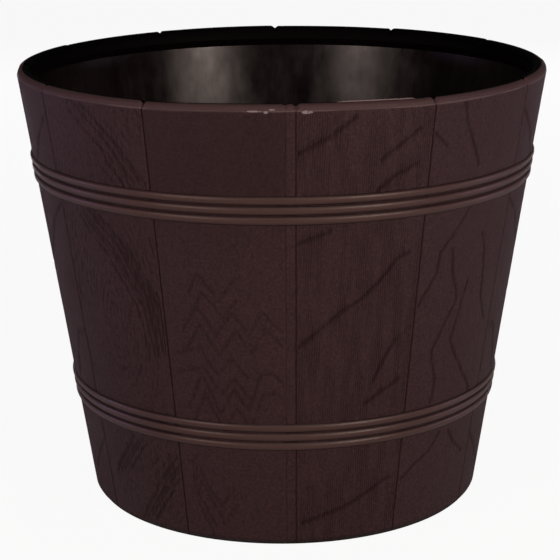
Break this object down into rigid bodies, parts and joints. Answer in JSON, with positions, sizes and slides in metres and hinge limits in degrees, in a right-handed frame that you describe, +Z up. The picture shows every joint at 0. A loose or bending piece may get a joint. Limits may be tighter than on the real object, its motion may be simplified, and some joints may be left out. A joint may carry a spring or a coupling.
{
  "type": "plastic flower pot",
  "caption": "Round tapered planter moulded to look like a small barrel of staves and hoops, with push-in plugs in the drain holes of its floor.",
  "frame": {"origin": "middle of the foot, on the ground", "axes": "+Z up along the pot's axis; -Y towards the seam strip, which is the front in the picture; +X to the right of that front"},
  "size_m": [0.4, 0.3999, 0.333],
  "materials": {
    "pot_plastic": "dark purplish brown moulded plastic: matte wood-grain staves, satin hoops, smooth glossy inside",
    "plug_rubber": "soft black moulded rubber"
  },
  "bodies": {
    "pot": {"pot_shell": "pot_plastic"},
    "plug_1": {"drain_plug_1": "plug_rubber"},
    "plug_2": {"drain_plug_2": "plug_rubber"},
    "plug_3": {"drain_plug_3": "plug_rubber"},
    "plug_4": {"drain_plug_4": "plug_rubber"}
  },
  "joints": [
    {"name": "plug_1_lift", "type": "slide", "parent": "pot", "child": "plug_1", "axis": [0, 0, 1], "range_m": [0, 0.06]},
    {"name": "plug_2_lift", "type": "slide", "parent": "pot", "child": "plug_2", "axis": [0, 0, 1], "range_m": [0, 0.06]},
    {"name": "plug_3_lift", "type": "slide", "parent": "pot", "child": "plug_3", "axis": [0, 0, 1], "range_m": [0, 0.06]},
    {"name": "plug_4_lift", "type": "slide", "parent": "pot", "child": "plug_4", "axis": [0, 0, 1], "range_m": [0, 0.06]}
  ]
}
